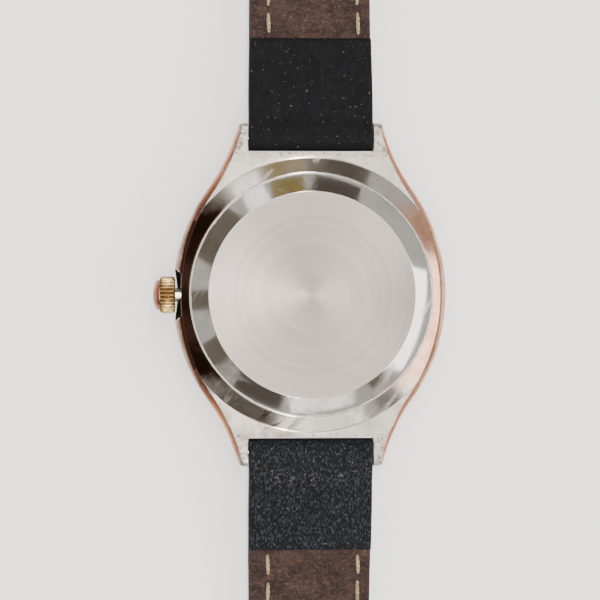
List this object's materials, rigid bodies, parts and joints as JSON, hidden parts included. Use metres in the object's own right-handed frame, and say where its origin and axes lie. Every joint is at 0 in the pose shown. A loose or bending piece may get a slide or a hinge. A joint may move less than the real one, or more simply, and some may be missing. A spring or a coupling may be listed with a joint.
{
  "type": "wristwatch",
  "caption": "Hand-wound wristwatch lying face down: round case with lugs, press-fit caseback, fluted crown, two-part leather strap with buckle, and full gear train.",
  "frame": {"origin": "centre of the crystal's flat outer face, on the surface that the watch lies on", "axes": "+Z from the crystal to the caseback, +Y to twelve o'clock (the buckle half of the strap), crown on -X"},
  "size_m": [0.0419, 0.2401, 0.0102],
  "materials": {
    "rose_gold_case": "worn rose-gold plating, polished on the ring, matte on the lug plates",
    "caseback_steel": "circular brushing on the flat, polished bevel",
    "polished_steel": "polished",
    "crown_gold": "polished flutes, worn copper-coloured cap",
    "movement_brass": "fine brushed",
    "movement_nickel": "nickel plate with fine stripes",
    "movement_steel": "hardened steel, fine ground",
    "blued_steel": "heat blued",
    "gasket_rubber": "satin",
    "crystal_glass": "clear polished",
    "dial_paint": "satin cream",
    "black_leather": "fine grained, dry and dusty at the folds",
    "brown_lining": "worn nubuck"
  },
  "bodies": {
    "case": {"case_middle": "rose_gold_case", "bezel": "rose_gold_case", "crystal": "crystal_glass", "crystal_gasket": "gasket_rubber", "caseback_gasket": "gasket_rubber", "crown_tube": "polished_steel", "movement_ring": "movement_brass", "dial": "dial_paint", "main_plate": "movement_nickel", "barrel_bridge": "movement_nickel", "train_bridge": "movement_nickel", "balance_cock": "movement_nickel", "pallet_cock": "movement_nickel", "clamp_a": "polished_steel", "clamp_b": "polished_steel", "clamp_a_screw": "polished_steel", "clamp_b_screw": "polished_steel", "spring_bar_12": "polished_steel", "spring_bar_6": "polished_steel", "hairspring": "blued_steel"},
    "caseback": {"caseback": "caseback_steel"},
    "winding_pinion": {"winding_pinion": "movement_steel"},
    "crown": {"crown": "crown_gold", "stem": "movement_steel"},
    "sliding_pinion": {"sliding_pinion": "movement_steel"},
    "setting_lever": {"setting_lever": "movement_steel"},
    "yoke": {"yoke": "movement_steel"},
    "crown_wheel": {"crown_wheel": "movement_nickel"},
    "ratchet": {"ratchet_wheel": "movement_nickel", "barrel_arbor": "movement_steel"},
    "click": {"click": "movement_steel"},
    "barrel": {"mainspring_barrel": "movement_brass", "mainspring": "movement_steel"},
    "center": {"center_wheel": "movement_brass", "cannon_pinion": "movement_steel", "minute_hand": "crown_gold"},
    "third": {"third_wheel": "movement_brass"},
    "fourth": {"fourth_wheel": "movement_brass", "second_hand": "blued_steel"},
    "escape": {"escape_wheel": "movement_steel"},
    "minute_works": {"minute_wheel": "movement_brass"},
    "hour": {"hour_wheel": "movement_brass", "hour_hand": "crown_gold"},
    "setting_wheel": {"setting_wheel": "movement_steel"},
    "pallet_fork": {"pallet_fork": "movement_steel"},
    "balance": {"balance_wheel": "movement_brass"},
    "strap_12_root": {"strap_12_root": "black_leather"},
    "strap_12_tip": {"strap_12_tip_leather": "black_leather", "strap_12_tip_lining": "brown_lining", "keeper_fixed": "black_leather"},
    "keeper_free": {"keeper_free": "black_leather"},
    "buckle_frame": {"buckle_frame": "polished_steel", "buckle_bar": "polished_steel"},
    "buckle_tongue": {"buckle_tongue": "polished_steel"},
    "strap_6_root": {"strap_6_root": "black_leather"},
    "strap_6_mid": {"strap_6_mid_leather": "black_leather", "strap_6_mid_lining": "brown_lining"},
    "strap_6_tip": {"strap_6_tip_leather": "black_leather", "strap_6_tip_lining": "brown_lining"}
  },
  "joints": [
    {"name": "caseback_lift", "type": "slide", "parent": "case", "child": "caseback", "axis": [0, 0, 1], "range_m": [0, 0.012]},
    {"name": "crown_turn", "type": "hinge", "parent": "case", "child": "winding_pinion", "pos_m": [-0.00825, 0, 0.0055], "axis": [-1, 0, 0], "continuous": true},
    {"name": "crown_pull", "type": "slide", "parent": "winding_pinion", "child": "crown", "axis": [-1, 0, 0], "range_m": [0, 0.0009]},
    {"name": "sliding_pinion_shift", "type": "slide", "parent": "winding_pinion", "child": "sliding_pinion", "axis": [1, 0, 0], "range_m": [0, 0.0007]},
    {"name": "setting_lever_turn", "type": "hinge", "parent": "case", "child": "setting_lever", "pos_m": [-0.0101, -0.0027, 0.0044], "axis": [0, 0, 1], "range_deg": [0, 20]},
    {"name": "yoke_turn", "type": "hinge", "parent": "case", "child": "yoke", "pos_m": [-0.0082, -0.004, 0.0044], "axis": [0, 0, 1], "range_deg": [-15, 0]},
    {"name": "crown_wheel_turn", "type": "hinge", "parent": "case", "child": "crown_wheel", "pos_m": [-0.00603, 0, 0.0071], "axis": [0, 0, 1], "continuous": true},
    {"name": "ratchet_turn", "type": "hinge", "parent": "case", "child": "ratchet", "pos_m": [-0.00205, 0.00564, 0.0071], "axis": [0, 0, 1], "continuous": true},
    {"name": "click_turn", "type": "hinge", "parent": "case", "child": "click", "pos_m": [0.00316, 0.00841, 0.0071], "axis": [0, 0, -1], "range_deg": [0, 12]},
    {"name": "escape_turn", "type": "hinge", "parent": "case", "child": "escape", "pos_m": [0.00326, -0.00671, 0.007], "axis": [0, 0, 1], "continuous": true},
    {"name": "fourth_turn", "type": "hinge", "parent": "case", "child": "fourth", "pos_m": [0, -0.007, 0.0065], "axis": [0, 0, 1], "continuous": true},
    {"name": "third_turn", "type": "hinge", "parent": "case", "child": "third", "pos_m": [-0.00113, -0.00379, 0.007], "axis": [0, 0, 1], "continuous": true},
    {"name": "center_turn", "type": "hinge", "parent": "case", "child": "center", "pos_m": [0, 0, 0.0065], "axis": [0, 0, 1], "continuous": true},
    {"name": "barrel_turn", "type": "hinge", "parent": "case", "child": "barrel", "pos_m": [-0.00205, 0.00564, 0.006], "axis": [0, 0, 1], "continuous": true},
    {"name": "minute_works_turn", "type": "hinge", "parent": "case", "child": "minute_works", "pos_m": [-0.002, 0, 0.0044], "axis": [0, 0, 1], "continuous": true},
    {"name": "hour_turn", "type": "hinge", "parent": "case", "child": "hour", "pos_m": [0, 0, 0.004], "axis": [0, 0, 1], "continuous": true},
    {"name": "setting_wheel_turn", "type": "hinge", "parent": "case", "child": "setting_wheel", "pos_m": [-0.0041, 0, 0.0044], "axis": [0, 0, 1], "continuous": true},
    {"name": "pallet_swing", "type": "hinge", "parent": "case", "child": "pallet_fork", "pos_m": [0.00498, -0.00457, 0.007], "axis": [0, 0, 1], "range_deg": [-5, 5]},
    {"name": "balance_swing", "type": "hinge", "parent": "case", "child": "balance", "pos_m": [0.0072, -0.0018, 0.0077], "axis": [0, 0, 1], "range_deg": [-270, 270]},
    {"name": "strap_12_bar_hinge", "type": "hinge", "parent": "case", "child": "strap_12_root", "pos_m": [0, 0.0223, 0.0066], "axis": [-1, 0, 0], "range_deg": [-70, 30]},
    {"name": "strap_12_flex", "type": "hinge", "parent": "strap_12_root", "child": "strap_12_tip", "pos_m": [0, 0.03921, 0.00482], "axis": [-1, 0, 0], "range_deg": [-30, 10]},
    {"name": "keeper_slide", "type": "slide", "parent": "strap_12_tip", "child": "keeper_free", "axis": [0, 1, -0.0056], "range_m": [-0.01, 0.008]},
    {"name": "buckle_frame_hinge", "type": "hinge", "parent": "strap_12_tip", "child": "buckle_frame", "pos_m": [0, 0.09421, 0.00452], "axis": [-1, 0, 0], "range_deg": [-40, 40]},
    {"name": "buckle_tongue_hinge", "type": "hinge", "parent": "buckle_frame", "child": "buckle_tongue", "pos_m": [0, 0.09421, 0.00452], "axis": [-1, 0, 0], "range_deg": [0, 60]},
    {"name": "strap_6_bar_hinge", "type": "hinge", "parent": "case", "child": "strap_6_root", "pos_m": [0, -0.0223, 0.0066], "axis": [1, 0, 0], "range_deg": [-70, 30]},
    {"name": "strap_6_flex_near", "type": "hinge", "parent": "strap_6_root", "child": "strap_6_mid", "pos_m": [0, -0.03909, 0.00394], "axis": [1, 0, 0], "range_deg": [-30, 10]},
    {"name": "strap_6_flex_far", "type": "hinge", "parent": "strap_6_mid", "child": "strap_6_tip", "pos_m": [0, -0.084, 0.00113], "axis": [1, 0, 0], "range_deg": [-30, 10]}
  ],
  "couplings": [
    {"joint": "sliding_pinion_shift", "follows": "crown_pull", "ratio": 0.75},
    {"joint": "setting_lever_turn", "follows": "crown_pull", "rad_per_m": 370},
    {"joint": "yoke_turn", "follows": "crown_pull", "rad_per_m": -267},
    {"joint": "crown_wheel_turn", "follows": "crown_turn", "ratio": -0.66667},
    {"joint": "ratchet_turn", "follows": "crown_turn", "ratio": 0.35556},
    {"joint": "fourth_turn", "follows": "escape_turn", "ratio": -0.1},
    {"joint": "third_turn", "follows": "escape_turn", "ratio": 0.013333},
    {"joint": "center_turn", "follows": "escape_turn", "ratio": -0.0016667},
    {"joint": "barrel_turn", "follows": "escape_turn", "ratio": 0.0002381},
    {"joint": "minute_works_turn", "follows": "escape_turn", "ratio": 0.00055556},
    {"joint": "hour_turn", "follows": "escape_turn", "ratio": -0.00013889},
    {"joint": "setting_wheel_turn", "follows": "escape_turn", "ratio": -0.0013889}
  ]
}
